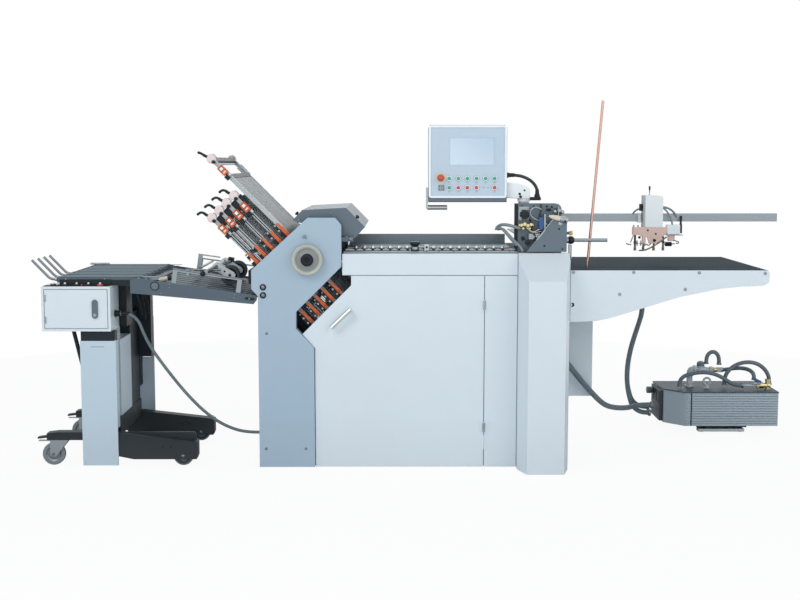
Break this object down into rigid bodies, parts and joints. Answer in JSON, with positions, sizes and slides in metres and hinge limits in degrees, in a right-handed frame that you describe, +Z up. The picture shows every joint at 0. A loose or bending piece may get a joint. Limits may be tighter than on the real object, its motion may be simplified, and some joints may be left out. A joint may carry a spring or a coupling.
{
  "type": "paper folding machine",
  "caption": "Floor-standing buckle-plate paper folding machine with suction feeder and lift table, register table, mobile delivery stand, operator panel and vacuum pump.",
  "frame": {"origin": "on the floor, at the middle of the underside of the cabinet base's middle cross rail, half way between the operator side and the back", "axes": "+X from the delivery stand to the feeder along the sheets' line, +Y from the operator side to the back, +Z up"},
  "size_m": [3.4893, 1.143, 1.6005],
  "materials": {
    "frame_paint": "satin powder coat, dark slate",
    "cover_paint": "satin powder coat, steel blue-grey",
    "panel_paint": "satin powder coat, pale blue-white",
    "motor_paint": "hammer paint",
    "table_board": "black fine-grained coating",
    "steel": "brushed",
    "bar_steel": "blue-grey anodised look",
    "drum_steel": "ground",
    "roller_rubber": "matte",
    "wheel_plastic": "beige-grey ring with a black hub",
    "orange": "gloss",
    "dark_plastic": "matte",
    "white_plastic": "gloss",
    "copper": "copper-coloured, satin",
    "brass": "satin",
    "red_plastic": "gloss",
    "green_plastic": "gloss, some caps red",
    "cable_rubber": "ribbed conduit",
    "hose_rubber": "smooth",
    "pump_paint": "ribbed casting, grey",
    "fork_paint": "dark blue",
    "tyre_rubber": "matte",
    "belt_rubber": "matte"
  },
  "bodies": {
    "machine": {"base_frame": "frame_paint", "cabinet_panels": "panel_paint", "column_cover": "panel_paint", "register_table": "table_board", "ball_rails": "steel", "drive_motor": "motor_paint", "side_covers": "cover_paint", "fold_frame": "frame_paint", "fold_rollers": "roller_rubber", "fold_plates": "steel", "plate_counters": "orange", "lower_fold_plates": "steel", "lower_levers": "orange", "head_plates": "frame_paint", "valve_block": "dark_plastic", "feed_bar": "bar_steel", "panel_post": "frame_paint", "stand_base": "frame_paint", "stand_column_covers": "panel_paint", "pump_body": "pump_paint", "pump_fittings": "brass", "pump_hoses": "hose_rubber", "box_cable": "cable_rubber", "supply_hose_a": "hose_rubber", "supply_hose_b": "hose_rubber", "column_hose": "hose_rubber"},
    "cabinet_door": {"cabinet_door": "panel_paint"},
    "hood": {"hood": "frame_paint"},
    "handwheel": {"handwheel": "wheel_plastic"},
    "lever_1": {"lever_1": "orange"},
    "lever_2": {"lever_2": "orange"},
    "lever_3": {"lever_3": "orange"},
    "lever_4": {"lever_4": "orange"},
    "lever_5": {"lever_5": "orange"},
    "suction_drum": {"suction_drum": "drum_steel"},
    "suction_head": {"suction_head": "white_plastic", "sucker_block": "copper"},
    "lift": {"lift_table": "table_board", "lift_aprons": "panel_paint", "guide_rod": "copper"},
    "panel": {"panel_housing": "panel_paint", "panel_cable": "cable_rubber"},
    "emergency_stop": {"emergency_stop": "red_plastic"},
    "panel_buttons": {"panel_buttons": "green_plastic"},
    "delivery": {"stand_columns": "frame_paint", "delivery_frame": "frame_paint", "delivery_belts": "belt_rubber", "stop_rods": "steel", "control_box": "panel_paint"},
    "control_box_door": {"control_box_door": "panel_paint"},
    "infeed": {"infeed_frame": "frame_paint", "infeed_belts": "belt_rubber", "press_bridge": "steel"},
    "press_arms": {"press_arms": "steel"},
    "press_wheels": {"press_wheels": "tyre_rubber"},
    "caster_front": {"caster_fork_front": "fork_paint"},
    "caster_rear": {"caster_fork_rear": "fork_paint"},
    "caster_wheel_front": {"caster_wheel_front": "tyre_rubber"},
    "caster_wheel_rear": {"caster_wheel_rear": "tyre_rubber"},
    "fixed_wheels": {"fixed_wheels": "tyre_rubber"}
  },
  "joints": [
    {"name": "cabinet_door_hinge", "type": "hinge", "parent": "machine", "child": "cabinet_door", "pos_m": [0.3655, -0.3863, 0.4], "axis": [0, 0, 1], "range_deg": [0, 110]},
    {"name": "hood_hinge", "type": "hinge", "parent": "machine", "child": "hood", "pos_m": [-0.215, 0, 1], "axis": [0, 1, 0], "range_deg": [0, 45]},
    {"name": "handwheel_spin", "type": "hinge", "parent": "machine", "child": "handwheel", "pos_m": [-0.398, -0.38, 0.916], "axis": [0, 1, 0], "continuous": true},
    {"name": "lever_1_clamp", "type": "hinge", "parent": "machine", "child": "lever_1", "pos_m": [-0.61984, -0.33, 0.89784], "axis": [0, 1, 0], "range_deg": [0, 25]},
    {"name": "lever_2_clamp", "type": "hinge", "parent": "machine", "child": "lever_2", "pos_m": [-0.58784, -0.33, 0.92983], "axis": [0, 1, 0], "range_deg": [0, 25]},
    {"name": "lever_3_clamp", "type": "hinge", "parent": "machine", "child": "lever_3", "pos_m": [-0.55585, -0.33, 0.96183], "axis": [0, 1, 0], "range_deg": [0, 25]},
    {"name": "lever_4_clamp", "type": "hinge", "parent": "machine", "child": "lever_4", "pos_m": [-0.52385, -0.33, 0.99383], "axis": [0, 1, 0], "range_deg": [0, 25]},
    {"name": "lever_5_clamp", "type": "hinge", "parent": "machine", "child": "lever_5", "pos_m": [-0.49185, -0.33, 1.02582], "axis": [0, 1, 0], "range_deg": [0, 25]},
    {"name": "suction_drum_spin", "type": "hinge", "parent": "machine", "child": "suction_drum", "pos_m": [0.612, 0, 0.902], "axis": [0, 1, 0], "continuous": true},
    {"name": "suction_head_slide", "type": "slide", "parent": "machine", "child": "suction_head", "axis": [1, 0, 0], "range_m": [-0.25, 0.45]},
    {"name": "lift_table_lift", "type": "slide", "parent": "machine", "child": "lift", "axis": [0, 0, 1], "range_m": [-0.2, 0.04]},
    {"name": "panel_swivel", "type": "hinge", "parent": "machine", "child": "panel", "pos_m": [0.545, -0.23, 1.2], "axis": [0, 0, 1], "range_deg": [-30, 75]},
    {"name": "emergency_stop_press", "type": "slide", "parent": "panel", "child": "emergency_stop", "axis": [0, 1, 0], "range_m": [0, 0.005], "stiffness_N_per_m": 1500},
    {"name": "panel_button_press", "type": "slide", "parent": "panel", "child": "panel_buttons", "axis": [0, 1, 0], "range_m": [0, 0.003], "stiffness_N_per_m": 1500},
    {"name": "stand_lift", "type": "slide", "parent": "machine", "child": "delivery", "axis": [0, 0, 1], "range_m": [-0.04, 0]},
    {"name": "control_box_door_hinge", "type": "hinge", "parent": "delivery", "child": "control_box_door", "pos_m": [-1.5414, -0.362, 0.698], "axis": [0, 0, -1], "range_deg": [0, 110]},
    {"name": "infeed_tilt", "type": "hinge", "parent": "delivery", "child": "infeed", "pos_m": [-1.061, -0.36, 0.796], "axis": [0, 1, 0], "range_deg": [0, 10]},
    {"name": "press_arm_lift", "type": "hinge", "parent": "infeed", "child": "press_arms", "pos_m": [-0.84186, -0.08, 0.85838], "axis": [0, -1, 0], "range_deg": [0, 40]},
    {"name": "press_wheels_spin", "type": "hinge", "parent": "press_arms", "child": "press_wheels", "pos_m": [-0.77671, -0.08, 0.81969], "axis": [0, 1, 0], "continuous": true},
    {"name": "caster_front_swivel", "type": "hinge", "parent": "machine", "child": "caster_front", "pos_m": [-1.501, -0.322, 0.11], "axis": [0, 0, 1], "continuous": true},
    {"name": "caster_rear_swivel", "type": "hinge", "parent": "machine", "child": "caster_rear", "pos_m": [-1.501, 0.173, 0.11], "axis": [0, 0, 1], "continuous": true},
    {"name": "caster_front_spin", "type": "hinge", "parent": "caster_front", "child": "caster_wheel_front", "pos_m": [-1.531, -0.322, 0.05], "axis": [0, 1, 0], "continuous": true},
    {"name": "caster_rear_spin", "type": "hinge", "parent": "caster_rear", "child": "caster_wheel_rear", "pos_m": [-1.531, 0.173, 0.05], "axis": [0, 1, 0], "continuous": true},
    {"name": "fixed_wheels_spin", "type": "hinge", "parent": "machine", "child": "fixed_wheels", "pos_m": [-0.957, -0.322, 0.044], "axis": [0, 1, 0], "continuous": true}
  ]
}
